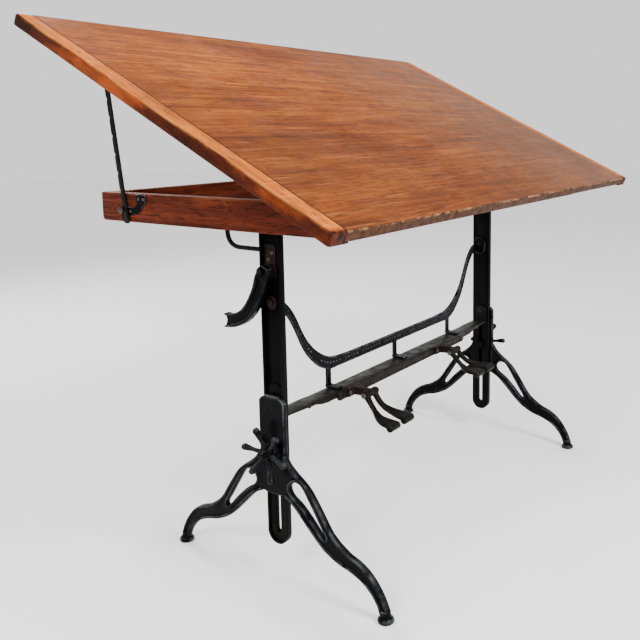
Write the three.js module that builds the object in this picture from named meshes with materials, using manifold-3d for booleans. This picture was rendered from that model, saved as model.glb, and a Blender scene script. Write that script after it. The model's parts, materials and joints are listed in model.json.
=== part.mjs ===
// Antique drafting table. Two slotted iron uprights slide in footed leg castings and carry a wooden frame.
// A drawing board is hinged along the front of the frame and stands on two notched prop bars.
// Millimetres, +Z up, +X to the user's right, the user at -Y. The uprights stand on Y = 0 until the last lines,
// where the whole table is shifted so that the middle of its box is over the origin.

import * as THREE from "three";
import { mergeVertices } from "three/addons/utils/BufferGeometryUtils.js";
import Module from "manifold-3d";

const wasm = await Module();
wasm.setup();

// ---------------------------------------------------------------- driving dimensions

const GAP = 0.3; // between pieces that touch

// drawing board
const BOARD_LENGTH = 1524;
const BOARD_DEPTH = 914;
const PANEL_THICK = 20;
const CLEAT_WIDTH = 38;
const CLEAT_THICK = 25.4;
const CLEAT_LIP = 14; // the part of the cleat that reaches under the panel
const TILT = THREE.MathUtils.degToRad(26.5);
const FRONT_OVERHANG = 102.5; // board in front of the hinge line

// wooden frame under the board
const FRAME_HALF = 575; // to the outer face of a side board
const FRAME_FRONT = -270;
const FRAME_REAR = 452;
const FRAME_TOP = 850;
const FRAME_BOTTOM = 784;
const FRAME_THICK = 22;
const REAR_RAIL_SET = 10; // rear rail in front of the side boards' ends
const BEARER_WIDTH = 46;

// hinges between frame and board
const HINGE_X = 400;
const HINGE_LENGTH = 76;
const HINGE_Y = FRAME_FRONT - 4;
const HINGE_Z = FRAME_TOP + 1.4;
const BARREL_R = 2.8;
const HINGE_PIN_R = 1.3;
const HINGE_BORE_R = 1.6;
const LEAF_DEPTH = 24;
const PANEL_UNDER = 3.1; // panel's underside above the hinge axis

// uprights: channels open to the outside
const UPRIGHT_LIP = 502; // outer edge of the flanges
const UPRIGHT_DEPTH = 15.4;
const UPRIGHT_WIDTH = 56;
const UPRIGHT_WEB = 6;
const UPRIGHT_FLANGE = 5;
const UPRIGHT_BOTTOM = 75;
const UPRIGHT_TOP = 778;
const UPRIGHT_INNER = UPRIGHT_LIP - UPRIGHT_DEPTH;
const WEB_OUTER = UPRIGHT_INNER + UPRIGHT_WEB;
const SLOT_WIDTH = 13;
const SLOT_LOW = 101;
const SLOT_HIGH = 376;
const SLOT_PAD_TOP = 444; // the web is thicker round the slot, up to here
const SLOT_PAD = 4.5;

// leg castings
const COLUMN_OUTER = 512;
const COLUMN_INNER = 499.5;
const COLUMN_HALF = 35;
const COLUMN_TOP = 419;
const COLUMN_FOOT = 197;
const CHANNEL_GAP = 0.5;
const LEG_PLANE = 508;
const LEG_DEPTH = 16;
const LEG_WEB = 7;
const LEG_RIM = 5;
const FOOT_OUT = 292;
const FOOT_R = 17.5;

// height clamp
const CLAMP_Z = 294;
const CLAMP_BOLT_R = 5.6;
const CLAMP_HEAD = 11; // half the width of the bolt's square head
const WHEEL_HUB_R = 14;
const WHEEL_SPOKES = 6;
const WHEEL_R = 56; // to the middle of a ball end
const WHEEL_PHASE = { left: -20.5, right: 25 }; // degrees of the first spoke, from +Z towards the front
const WHEEL_CONE = 14; // how far the ball ends stand out from the hub's middle
const BALL_R = 8.2;

// yoke-shaped brace on the cross rail
const BRACE_FRONT = 12;
const BRACE_THICK = 6;
const BRACE_BAR_Z = 428.5;
const BRACE_HALF_HEIGHT = 12.5;
const BRACE_END_Z = 612;
const POST_X = 291;
const POST_WIDTH = 16;
const RAIL_TOP = 374;
const RAIL_FRONT = -31;
const RAIL_WAIST = -26; // front edge outside the deep part of the web
const RAIL_TIP = -21; // front edge at the uprights
const RAIL_REAR = 14;
const RAIL_REAR_END = 17;
const RAIL_THICK = 6;
const RAIL_WEB_LOW = 351;
const RAIL_WEB_STEP = 358.5;

// foot levers
const PEDAL_PAIRS = { left: -252, right: 163 };
const PEDAL_RAISED = { left: 0, right: 9 }; // degrees at rest
const PEDAL_AXIS_Y = -80;
const PEDAL_AXIS_Z = 364;
const PEDAL_PIN_R = 4.5;
const PEDAL_HUB_R = 9.5;
const PEDAL_HUB_WIDTH = 17;
const PEDAL_PAD_WIDTH = 36;
const PEDAL_SPREAD = 30; // from the pair's middle to the middle of a pad

// prop bars
const PROP_X = 581.5;
const PROP_THICK = 4;
const PROP_WIDTH = 14;
const PROP_PIVOT = { u: 760, w: -17 }; // in the board's axes, from the hinge line
const PROP_LENGTH = 398;
const PROP_LEAN = THREE.MathUtils.degToRad(8.4);
const PROP_NOTCHES = 8;
const PROP_NOTCH_PITCH = 42;
const PROP_CATCH = 366; // from the pivot to the notch that the stud stands in
const STUD_R = 4.5;
const STUD_OUT = 9.3; // from the bar's middle line to the middle of the stud

// hand lever on the left upright
const LEVER_PLANE = 519;
const LEVER_AXIS = { y: 1, z: 695 };

// ---------------------------------------------------------------- materials

function metal(color, roughness, metalness) {
  return new THREE.MeshStandardMaterial({ color, roughness, metalness });
}
const castIron = () => metal(0x17181b, 0.45, 0.7);
const barIron = () => metal(0x242427, 0.5, 0.75);
const rustyIron = () => metal(0x4a3226, 0.7, 0.6);
const steel = () => metal(0x55524e, 0.45, 0.85);
const boardWood = () => metal(0x9a5a33, 0.5, 0);
const cleatWood = () => metal(0xb5652c, 0.5, 0);
const frameWood = () => metal(0x4a221a, 0.55, 0);

// ---------------------------------------------------------------- shapes

function shapeOf(points) {
  return new THREE.Shape(points.map(([a, b]) => new THREE.Vector2(a, b)));
}

// A prism of an outline given as [a, b] points. Along X the points are [y, z], along Y [x, z], along Z [x, y].
function prism(axis, points, low, high) {
  const geometry = new THREE.ExtrudeGeometry(shapeOf(points), {
    depth: high - low,
    bevelEnabled: false,
    steps: 1,
  });
  const x = new THREE.Vector3(1, 0, 0);
  const y = new THREE.Vector3(0, 1, 0);
  const z = new THREE.Vector3(0, 0, 1);
  const basis = new THREE.Matrix4();
  if (axis === "x") basis.makeBasis(y, z, x).setPosition(low, 0, 0);
  if (axis === "y") basis.makeBasis(x, z, y.clone().negate()).setPosition(0, high, 0);
  if (axis === "z") basis.setPosition(0, 0, low);
  return geometry.applyMatrix4(basis);
}

function block(x0, x1, y0, y1, z0, z1) {
  const geometry = new THREE.BoxGeometry(x1 - x0, y1 - y0, z1 - z0);
  return geometry.translate((x0 + x1) / 2, (y0 + y1) / 2, (z0 + z1) / 2);
}

// A round bar along X from x0 to x1, with its middle at (y, z).
function roundX(radius, x0, x1, y, z, sides = 14) {
  const geometry = new THREE.CylinderGeometry(radius, radius, Math.abs(x1 - x0), sides);
  return geometry.rotateZ(Math.PI / 2).translate((x0 + x1) / 2, y, z);
}

function circlePoints(radius, a, b, from, to, steps) {
  const points = [];
  for (let i = 0; i <= steps; i++) {
    const angle = from + ((to - from) * i) / steps;
    points.push([a + radius * Math.cos(angle), b + radius * Math.sin(angle)]);
  }
  return points;
}

// A long hole or tongue: straight sides, half-round ends, upright in its own plane.
function stadium(a, low, high, width, steps = 8) {
  const r = width / 2;
  return [
    ...circlePoints(r, a, high - r, 0, Math.PI, steps),
    ...circlePoints(r, a, low + r, Math.PI, 2 * Math.PI, steps),
  ];
}

// The outline of a band along a smooth line through the given points. Each point is [a, b, half width].
function band(points, steps) {
  const line = new THREE.CatmullRomCurve3(
    points.map(([a, b, half]) => new THREE.Vector3(a, b, half)),
    false,
    "centripetal",
  );
  const near = [];
  const far = [];
  for (let i = 0; i <= steps; i++) {
    const t = i / steps;
    const p = line.getPoint(t);
    const along = line.getTangent(t).setZ(0).normalize();
    near.push([p.x - along.y * p.z, p.y + along.x * p.z]);
    far.unshift([p.x + along.y * p.z, p.y - along.x * p.z]);
  }
  return [...near, ...far];
}

function narrowed(points, by) {
  return points.map(([a, b, half]) => [a, b, half - by]);
}

function solid(geometry) {
  const plain = geometry.clone();
  plain.deleteAttribute("normal");
  plain.deleteAttribute("uv");
  const merged = mergeVertices(plain, 1e-4);
  const vertProperties = new Float32Array(merged.attributes.position.array);
  const triVerts = new Uint32Array(merged.index.array);
  return new wasm.Manifold(new wasm.Mesh({ numProp: 3, vertProperties, triVerts }));
}

function geometryOf(body) {
  const mesh = body.getMesh();
  const geometry = new THREE.BufferGeometry();
  geometry.setAttribute("position", new THREE.BufferAttribute(new Float32Array(mesh.vertProperties), 3));
  geometry.setIndex(new THREE.BufferAttribute(new Uint32Array(mesh.triVerts), 1));
  geometry.computeVertexNormals();
  return geometry;
}

function join(...geometries) {
  return geometryOf(geometries.map(solid).reduce((all, next) => all.add(next)));
}

function cut(geometry, ...tools) {
  return geometryOf(tools.map(solid).reduce((rest, tool) => rest.subtract(tool), solid(geometry)));
}

function common(a, b) {
  return geometryOf(solid(a).intersect(solid(b)));
}

// The same piece for the other end of the table.
function mirrored(geometry) {
  return outward(geometryOf(solid(geometry)).applyMatrix4(new THREE.Matrix4().makeScale(-1, 1, 1)));
}

// The same surface with its faces pointing out.
function outward(geometry) {
  const p = geometry.attributes.position;
  const order = geometry.index.array;
  let volume = 0;
  const [a, b, c] = [new THREE.Vector3(), new THREE.Vector3(), new THREE.Vector3()];
  for (let i = 0; i < order.length; i += 3) {
    a.fromBufferAttribute(p, order[i]);
    b.fromBufferAttribute(p, order[i + 1]);
    c.fromBufferAttribute(p, order[i + 2]);
    volume += a.dot(b.cross(c));
  }
  if (volume < 0) for (let i = 0; i < order.length; i += 3) [order[i], order[i + 1]] = [order[i + 1], order[i]];
  geometry.computeVertexNormals();
  return geometry;
}

// ---------------------------------------------------------------- the table as a tree

const table = new THREE.Group();
const board = new THREE.Group();
board.position.set(0, HINGE_Y, HINGE_Z);
board.rotation.x = TILT;
table.add(board);

function add(name, geometry, material, parent = table) {
  const mesh = new THREE.Mesh(geometry, material);
  mesh.name = name;
  parent.add(mesh);
  return mesh;
}

// The geometry is the left-hand piece.
function addPair(name, geometry, material, parent = table) {
  add(name + "_left", geometry, material(), parent);
  add(name + "_right", mirrored(geometry), material(), parent);
}

// ---------------------------------------------------------------- leg castings and height clamp

// A leg seen from the side: an upper and a lower band leave the column, meet, and run to the foot.
const LEG_UPPER = [
  [26, 290, 8],
  [42, 271, 8],
  [58, 256, 8],
  [77, 243, 8],
  [102, 223, 8],
  [124, 189, 8],
  [140, 164, 8.5],
  [158, 136, 9],
];
const LEG_LOWER = [
  [14, 211, 9],
  [38, 205, 9],
  [67, 189, 9],
  [97, 160, 9],
  [126, 127, 9.5],
  [152, 112, 12],
];
const LEG_SHANK = [
  [146, 130, 15],
  [170, 113, 18],
  [197, 101, 17],
  [225, 93, 15.5],
  [251, 80, 14],
  [273, 56, 12.5],
  [286, 32, 11.5],
  [FOOT_OUT, 10, 11.5],
];

function legSolid(direction) {
  const facing = (points) => (direction > 0 ? points : points.map(([y, z]) => [-y, z]).reverse());
  const outer = -LEG_PLANE - LEG_DEPTH / 2;
  const inner = -LEG_PLANE + LEG_DEPTH / 2;
  const bands = [
    [LEG_UPPER, 9],
    [LEG_LOWER, 7],
    [LEG_SHANK, 14],
  ];
  const bars = bands.map(([points, steps]) => prism("x", facing(band(points, steps)), outer, inner));
  const pad = new THREE.LatheGeometry(
    [
      [0, 0],
      [FOOT_R - 1, 0],
      [FOOT_R, 1.5],
      [FOOT_R, 6],
      [FOOT_R - 4, 10],
      [FOOT_R - 7, 14],
      [FOOT_R - 7.5, 20],
      [0, 20],
    ].map(([r, z]) => new THREE.Vector2(r, z)),
    14,
  );
  pad.rotateX(Math.PI / 2).translate(-LEG_PLANE, direction * FOOT_OUT, 0);
  const pockets = [];
  const recess = (LEG_DEPTH - LEG_WEB) / 2;
  for (const [points, steps] of bands) {
    const inside = narrowed(points, LEG_RIM).filter(([y, z]) => y > COLUMN_HALF + 4 && z > 60);
    const outline = facing(band(inside, steps - 2));
    pockets.push(prism("x", outline, outer - 1, outer + recess));
    pockets.push(prism("x", outline, inner - recess, inner + 1));
  }
  return cut(join(...bars, pad), ...pockets);
}

function legCasting() {
  const chamfer = 12;
  const column = prism(
    "x",
    [
      [-20, COLUMN_FOOT],
      [20, COLUMN_FOOT],
      [34, COLUMN_FOOT + 8],
      [42, COLUMN_FOOT + 24],
      [43, 244],
      [COLUMN_HALF, 278],
      [COLUMN_HALF, COLUMN_TOP - chamfer],
      [COLUMN_HALF - chamfer - 4, COLUMN_TOP],
      [-(COLUMN_HALF - chamfer - 4), COLUMN_TOP],
      [-COLUMN_HALF, COLUMN_TOP - chamfer],
      [-COLUMN_HALF, 278],
      [-43, 244],
      [-42, COLUMN_FOOT + 24],
      [-34, COLUMN_FOOT + 8],
    ],
    -COLUMN_OUTER,
    -COLUMN_INNER,
  );
  const boss = roundX(WHEEL_HUB_R + 4, -COLUMN_OUTER - 1, -COLUMN_OUTER + 2, 0, CLAMP_Z, 28);
  const half = UPRIGHT_WIDTH / 2 + CHANNEL_GAP;
  const channel = block(-UPRIGHT_LIP - CHANNEL_GAP, -UPRIGHT_INNER + 30, -half, half, 100, COLUMN_TOP + 1);
  const bore = roundX(CLAMP_BOLT_R + GAP, -COLUMN_OUTER - 5, -UPRIGHT_LIP + 5, 0, CLAMP_Z);
  return cut(join(legSolid(1), legSolid(-1), column, boss), channel, bore);
}

function clampBolt() {
  const face = -UPRIGHT_INNER + GAP;
  const low = CLAMP_Z - CLAMP_HEAD;
  return join(
    roundX(CLAMP_BOLT_R, -COLUMN_OUTER - 34, face + 1, 0, CLAMP_Z),
    block(face, face + 8, -CLAMP_HEAD, CLAMP_HEAD, low, CLAMP_Z + CLAMP_HEAD),
  );
}

function handwheel(side) {
  const phase = THREE.MathUtils.degToRad(WHEEL_PHASE[side]);
  const hubInner = -COLUMN_OUTER - 1 - GAP;
  const hubMiddle = hubInner - 12;
  const parts = [
    roundX(WHEEL_HUB_R, hubInner - 16, hubInner, 0, CLAMP_Z, 28),
    roundX(WHEEL_HUB_R - 4, hubInner - 22, hubInner - 15, 0, CLAMP_Z, 28),
  ];
  for (let i = 0; i < WHEEL_SPOKES; i++) {
    const spoke = new THREE.LatheGeometry(
      [
        [0, 4],
        [5.6, 4],
        [5.6, WHEEL_HUB_R + 4],
        [4.7, WHEEL_R * 0.6],
        [BALL_R * 0.88, WHEEL_R - BALL_R * 0.55],
        [BALL_R, WHEEL_R + BALL_R * 0.2],
        [BALL_R * 0.7, WHEEL_R + BALL_R * 0.85],
        [0, WHEEL_R + BALL_R * 1.1],
      ].map(([r, h]) => new THREE.Vector2(r, h)),
      8,
    );
    spoke.rotateX(Math.PI / 2);
    spoke.rotateY(-Math.atan2(WHEEL_CONE, WHEEL_R));
    spoke.rotateX(phase + (2 * Math.PI * i) / WHEEL_SPOKES);
    parts.push(spoke.translate(hubMiddle, 0, CLAMP_Z));
  }
  return cut(join(...parts), roundX(CLAMP_BOLT_R + GAP, hubInner - 40, hubInner + 5, 0, CLAMP_Z));
}

addPair("leg_casting", legCasting(), castIron);
addPair("clamp_bolt", clampBolt(), steel);
add("handwheel_left", handwheel("left"), castIron());
add("handwheel_right", mirrored(handwheel("right")), castIron());

// ---------------------------------------------------------------- uprights

const BRACE_BOLT = { y: 3, z: BRACE_END_Z + 10, r: 5 };
const RAIL_BOLT = { y: -3, z: 404, r: 4 };
const RAIL_PALM = 5; // thickness

function upright() {
  const half = UPRIGHT_WIDTH / 2;
  const end = circlePoints(half, 0, UPRIGHT_BOTTOM + half, Math.PI, 2 * Math.PI, 16);
  const outline = [...end, [half, UPRIGHT_TOP], [-half, UPRIGHT_TOP]];
  const inset = half - UPRIGHT_FLANGE;
  const low = circlePoints(inset, 0, UPRIGHT_BOTTOM + half, Math.PI, 2 * Math.PI, 16);
  const hollow = [...low, [inset, UPRIGHT_TOP + 5], [-inset, UPRIGHT_TOP + 5]];
  const bar = prism("x", outline, -UPRIGHT_LIP, -UPRIGHT_INNER);
  const channel = cut(bar, prism("x", hollow, -UPRIGHT_LIP - 5, -WEB_OUTER));
  const padOutline = stadium(0, UPRIGHT_BOTTOM + UPRIGHT_FLANGE - 1, SLOT_PAD_TOP, 2 * inset + 1, 10);
  const pad = prism("x", padOutline, -WEB_OUTER - SLOT_PAD, -WEB_OUTER + 1);
  return cut(
    join(channel, pad),
    prism("x", stadium(0, SLOT_LOW, SLOT_HIGH, SLOT_WIDTH), -UPRIGHT_LIP, -UPRIGHT_INNER + 5),
    roundX(RAIL_BOLT.r + GAP, -UPRIGHT_LIP, -UPRIGHT_INNER + 5, RAIL_BOLT.y, RAIL_BOLT.z),
    roundX(BRACE_BOLT.r + GAP, -UPRIGHT_LIP, -UPRIGHT_INNER + 5, BRACE_BOLT.y, BRACE_BOLT.z),
  );
}

// Plate between an upright's top and the frame's bearer.
function uprightHead() {
  return block(-UPRIGHT_LIP - 2, -UPRIGHT_INNER + 18, -52, 52, UPRIGHT_TOP + GAP, FRAME_BOTTOM - GAP);
}

// Round bolt through the upright's web into the end of the brace.
function braceBolt() {
  const face = -WEB_OUTER - GAP;
  return join(
    roundX(15, face - 4, face, BRACE_BOLT.y, BRACE_BOLT.z, 20),
    roundX(8, face - 9, face - 3, BRACE_BOLT.y, BRACE_BOLT.z, 6),
    roundX(BRACE_BOLT.r, face - 1, -UPRIGHT_INNER + 6, BRACE_BOLT.y, BRACE_BOLT.z),
  );
}

// Bent rod from the bearer's underside to the rear of the upright.
function stayRod() {
  const x = -(UPRIGHT_LIP + UPRIGHT_INNER) / 2;
  const top = FRAME_BOTTOM - GAP;
  const low = 735;
  const reach = 128;
  const bend = 38;
  const path = new THREE.CurvePath();
  const corner = new THREE.Vector3(x, reach, low);
  const above = new THREE.Vector3(x, reach, low + bend);
  const before = new THREE.Vector3(x, reach - bend, low);
  const start = new THREE.Vector3(x, UPRIGHT_WIDTH / 2 + GAP, low);
  path.add(new THREE.LineCurve3(new THREE.Vector3(x, reach, top), above));
  path.add(new THREE.QuadraticBezierCurve3(above, corner, before));
  path.add(new THREE.LineCurve3(before, start));
  const section = new THREE.Shape();
  section.absarc(0, 0, 5.5, 0, 2 * Math.PI);
  const rod = new THREE.ExtrudeGeometry(section, { extrudePath: path, steps: 14, curveSegments: 5 });
  const flange = block(x - 9, x + 9, reach - 9, reach + 9, top - 5, top);
  return join(rod, flange);
}

addPair("upright", upright(), castIron);
addPair("upright_head", uprightHead(), castIron);
addPair("brace_bolt", braceBolt(), rustyIron);
addPair("stay_rod", stayRod(), castIron);

// ---------------------------------------------------------------- brace and cross rail

const BRACE_ARM = [
  [-(UPRIGHT_INNER - 4), BRACE_END_Z, 12],
  [-462, 610, 11],
  [-445, 601, 10],
  [-429, 585, 9.5],
  [-413, 563, 8.7],
  [-395, 531, 8.7],
  [-381, 507, 10],
  [-363, 483, 12],
  [-341, 462, 13.5],
  [-316, 444, 15.5],
  [-286, 432, 15.5],
  [-250, 429.5, 13.5],
  [-196, BRACE_BAR_Z, BRACE_HALF_HEIGHT],
  [-180, BRACE_BAR_Z, BRACE_HALF_HEIGHT],
];

function brace() {
  const rear = BRACE_FRONT + BRACE_THICK;
  const arm = prism("y", band(BRACE_ARM, 20), BRACE_FRONT, rear);
  const low = BRACE_BAR_Z - BRACE_HALF_HEIGHT;
  const bar = block(-200, 200, BRACE_FRONT, rear, low, BRACE_BAR_Z + BRACE_HALF_HEIGHT);
  const face = -UPRIGHT_INNER + GAP;
  const palm = prism("x", stadium(BRACE_BOLT.y, BRACE_END_Z - 22, BRACE_END_Z + 32, 40), face, face + 7);
  const parts = [bar, arm, mirrored(arm), palm, mirrored(palm)];
  const foot = RAIL_TOP + GAP;
  for (const x of [-POST_X, 0, POST_X]) {
    parts.push(block(x - POST_WIDTH / 2, x + POST_WIDTH / 2, BRACE_FRONT, rear, foot, low + 8));
    parts.push(block(x - POST_WIDTH / 2 - 2, x + POST_WIDTH / 2 + 2, -22, rear, foot, foot + 6));
  }
  const bores = [];
  for (const side of [-1, 1]) {
    const outer = side * (UPRIGHT_INNER + 5);
    bores.push(roundX(BRACE_BOLT.r + GAP, outer, side * (UPRIGHT_INNER - 9.6), BRACE_BOLT.y, BRACE_BOLT.z));
  }
  return cut(join(...parts), ...bores);
}

function bothHalves(half) {
  const other = half.map(([x, second]) => [-x, second]).reverse();
  return [...half, ...other];
}

// Angle bar: flat on top, a web hanging at the front, and an upturned palm against each upright.
function crossRail() {
  const end = UPRIGHT_INNER - GAP;
  const under = RAIL_TOP - RAIL_THICK;
  const front = [
    [310, RAIL_FRONT],
    [322, RAIL_WAIST],
    [415, RAIL_WAIST],
    [470, RAIL_TIP],
    [end, RAIL_TIP],
  ];
  const rear = [
    [end, RAIL_REAR_END],
    [390, RAIL_REAR_END],
    [370, RAIL_REAR],
  ];
  const flange = prism("z", bothHalves([...front, ...rear]), under, RAIL_TOP);
  const deep = [
    [306, RAIL_WEB_LOW],
    [313, RAIL_WEB_STEP],
    [313, RAIL_TOP - 1],
  ];
  const shallow = [
    [300, RAIL_WEB_STEP],
    [344, RAIL_WEB_STEP],
    [366, RAIL_WEB_STEP + 2],
    [392, under - 1],
    [404, under - 1],
    [411, under - 4],
    [418, under],
    [418, RAIL_TOP - 1],
    [300, RAIL_TOP - 1],
  ];
  const web = prism("y", bothHalves(deep), RAIL_FRONT, RAIL_FRONT + RAIL_THICK);
  const webEnd = prism("y", shallow, RAIL_WAIST, RAIL_WAIST + RAIL_THICK);
  const half = (RAIL_REAR - RAIL_TIP) / 2 - 0.5;
  const palm = prism("x", stadium(RAIL_BOLT.y, RAIL_TOP - 20, RAIL_BOLT.z + half, 2 * half), -end, -end + RAIL_PALM);
  const below = block(-end - 1, -end + RAIL_PALM + 1, -40, 40, RAIL_TOP - 60, under + 1);
  const upturned = cut(palm, below);
  const bore = roundX(RAIL_BOLT.r + GAP, -end - 5, -end + 20, RAIL_BOLT.y, RAIL_BOLT.z);
  const body = join(flange, web, webEnd, mirrored(webEnd), upturned, mirrored(upturned));
  return cut(body, bore, mirrored(bore));
}

// Bolt through an upright's web and the rail's palm.
function railBolt() {
  const outer = -WEB_OUTER - SLOT_PAD - GAP;
  const inner = -UPRIGHT_INNER + 2 * GAP + RAIL_PALM;
  const { y, z, r } = RAIL_BOLT;
  return join(
    roundX(9, outer - 3, outer, y, z, 16),
    roundX(r, outer - 1, inner + 1, y, z),
    roundX(7.5, inner, inner + 5, y, z, 6),
  );
}

add("brace", brace(), castIron());
add("cross_rail", crossRail(), barIron());
addPair("rail_bolt", railBolt(), rustyIron);

// ---------------------------------------------------------------- foot levers

// The two levers of a pair share a pin through this bracket's arm.
function pedalBracket(x) {
  const back = RAIL_FRONT - GAP;
  const half = 7;
  const plate = block(x - 26, x + 26, back - 6, back, RAIL_WEB_LOW + 1, RAIL_TOP);
  const arm = prism(
    "x",
    [
      [back - 5, RAIL_WEB_LOW + 3],
      [back - 5, RAIL_TOP - 1],
      [back - 14, RAIL_TOP - 1],
      [PEDAL_AXIS_Y + 3, PEDAL_AXIS_Z + 9],
      [PEDAL_AXIS_Y + 3, PEDAL_AXIS_Z - 9],
      [back - 14, RAIL_WEB_LOW + 3],
    ].reverse(),
    x - half,
    x + half,
  );
  const eye = roundX(PEDAL_HUB_R, x - half, x + half, PEDAL_AXIS_Y, PEDAL_AXIS_Z, 16);
  const bore = roundX(PEDAL_PIN_R + GAP, x - 30, x + 30, PEDAL_AXIS_Y, PEDAL_AXIS_Z);
  return cut(join(plate, arm, eye), bore);
}

function pedalPin(x) {
  const half = 7 + PEDAL_HUB_WIDTH + 1.5;
  const parts = [roundX(PEDAL_PIN_R, x - half, x + half, PEDAL_AXIS_Y, PEDAL_AXIS_Z)];
  for (const side of [-1, 1]) {
    const from = x + side * half;
    parts.push(roundX(PEDAL_HUB_R - 3, from - side * 0.5, from + side * 4, PEDAL_AXIS_Y, PEDAL_AXIS_Z));
  }
  return join(...parts);
}

// A lever drops from its hub, widens to a pad, and its end is rolled over. Its pin is at y = 0, z = 0.
function pedal(x, side) {
  const hubNear = x + side * (7 + 0.8);
  const hubFar = hubNear + side * PEDAL_HUB_WIDTH;
  const neck = x + side * (7 + PEDAL_HUB_WIDTH * 0.55);
  const padX = x + side * PEDAL_SPREAD;
  const [y, z] = [0, 0];
  const sideView = band(
    [
      [y, z, 5.5],
      [y - 11, z - 17, 4.5],
      [y - 27, z - 35, 3.8],
      [y - 47, z - 46, 3.4],
      [y - 70, z - 51, 3.2],
      [y - 86, z - 53, 3.2],
    ],
    10,
  );
  const near = [
    [y + 12, neck, 8],
    [y - 12, neck, 6.5],
    [y - 28, neck + side * 3, 7.5],
    [y - 46, padX - side * 3, 13],
    [y - 66, padX, PEDAL_PAD_WIDTH / 2],
    [y - 100, padX, PEDAL_PAD_WIDTH / 2],
  ];
  const plan = band(near, 10).map(([b, a]) => [a, b]);
  const low = Math.min(x, padX) - 60;
  const flat = common(prism("x", sideView, low, low + 150), prism("z", plan, z - 90, z + 30));
  const halfPad = PEDAL_PAD_WIDTH / 2;
  const roll = roundX(7, padX - halfPad, padX + halfPad, y - 86, z - 56.5, 14);
  const hub = roundX(PEDAL_HUB_R, hubNear, hubFar, y, z, 16);
  const bore = roundX(PEDAL_PIN_R + GAP, x - 60, x + 60, y, z);
  return cut(join(flat, roll, hub), bore);
}

for (const [name, x] of Object.entries(PEDAL_PAIRS)) {
  add("pedal_bracket_" + name, pedalBracket(x), rustyIron());
  add("pedal_pin_" + name, pedalPin(x), steel());
  for (const [number, side] of [
    ["1", -1],
    ["2", 1],
  ]) {
    const lever = add("pedal_" + name + "_" + number, pedal(x, side), barIron());
    lever.position.set(0, PEDAL_AXIS_Y, PEDAL_AXIS_Z);
    lever.rotation.x = -THREE.MathUtils.degToRad(PEDAL_RAISED[name]);
  }
}

// ---------------------------------------------------------------- wooden frame

function sideBoard() {
  const r = 10;
  const outline = [
    [FRAME_FRONT, FRAME_TOP],
    [FRAME_FRONT, FRAME_BOTTOM],
    ...circlePoints(r, FRAME_REAR - r, FRAME_BOTTOM + r, -Math.PI / 2, 0, 6),
    [FRAME_REAR, FRAME_TOP],
  ];
  return prism("x", outline, -FRAME_HALF, -FRAME_HALF + FRAME_THICK);
}

function frameRail(y0) {
  const half = FRAME_HALF - FRAME_THICK - GAP;
  return block(-half, half, y0, y0 + FRAME_THICK, FRAME_BOTTOM, FRAME_TOP);
}

// Inner batten from front rail to rear rail, above an upright.
function bearer() {
  const front = FRAME_FRONT + FRAME_THICK + GAP;
  const rear = FRAME_REAR - REAR_RAIL_SET - FRAME_THICK - GAP;
  const middle = -(UPRIGHT_INNER + 3);
  const half = BEARER_WIDTH / 2;
  return block(middle - half, middle + half, front, rear, FRAME_BOTTOM, FRAME_TOP - 18);
}

addPair("side_board", sideBoard(), frameWood);
add("front_rail", frameRail(FRAME_FRONT), frameWood());
add("rear_rail", frameRail(FRAME_REAR - REAR_RAIL_SET - FRAME_THICK), frameWood());
addPair("bearer", bearer(), frameWood);

// ---------------------------------------------------------------- board hinges

const KNUCKLES = 5;

// Knuckles of a leaf: the frame leaf has the odd ones, the board leaf those between.
function knuckles(first, y, z) {
  const pitch = HINGE_LENGTH / KNUCKLES;
  const parts = [];
  for (let i = first; i < KNUCKLES; i += 2) {
    const from = -HINGE_X - HINGE_LENGTH / 2 + i * pitch;
    parts.push(roundX(BARREL_R, from + GAP / 2, from + pitch - GAP / 2, y, z, 10));
  }
  return parts;
}

// A leaf plate with notches where the other leaf's knuckles turn.
function leaf(first, axis, y0, y1, z0, z1) {
  const pitch = HINGE_LENGTH / KNUCKLES;
  const start = -HINGE_X - HINGE_LENGTH / 2;
  const plate = block(start + GAP / 2, start + HINGE_LENGTH - GAP / 2, y0, y1, z0, z1);
  const notches = [];
  for (let i = 1 - first; i < KNUCKLES; i += 2) {
    const from = start + i * pitch;
    notches.push(block(from - GAP, from + pitch + GAP, y0 - 1, axis.y + BARREL_R + 1, z0 - 5, z1 + 5));
  }
  const bore = roundX(HINGE_BORE_R, start - 5, start + HINGE_LENGTH + 5, axis.y, axis.z, 8);
  return cut(join(plate, ...knuckles(first, axis.y, axis.z)), ...notches, bore);
}

const axisInTable = { y: HINGE_Y, z: HINGE_Z };
const leafBase = FRAME_TOP + GAP;
addPair("hinge_frame_leaf", leaf(0, axisInTable, HINGE_Y, HINGE_Y + LEAF_DEPTH, leafBase, leafBase + 1.6), steel);
addPair("hinge_pin", roundX(
  HINGE_PIN_R,
  -HINGE_X - HINGE_LENGTH / 2,
  -HINGE_X + HINGE_LENGTH / 2,
  HINGE_Y,
  HINGE_Z,
  8,
), steel);
const underPanel = PANEL_UNDER - GAP;
addPair(
  "hinge_board_leaf",
  leaf(1, { y: 0, z: 0 }, 0, LEAF_DEPTH, underPanel - 1.9, underPanel),
  steel,
  board,
);

// ---------------------------------------------------------------- drawing board, in its own tilted axes

const BOARD_FRONT = -FRONT_OVERHANG;
const BOARD_REAR = BOARD_DEPTH - FRONT_OVERHANG;
const BOARD_TOP = PANEL_UNDER + PANEL_THICK;
const PANEL_HALF = BOARD_LENGTH / 2 - CLEAT_WIDTH - GAP;

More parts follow.
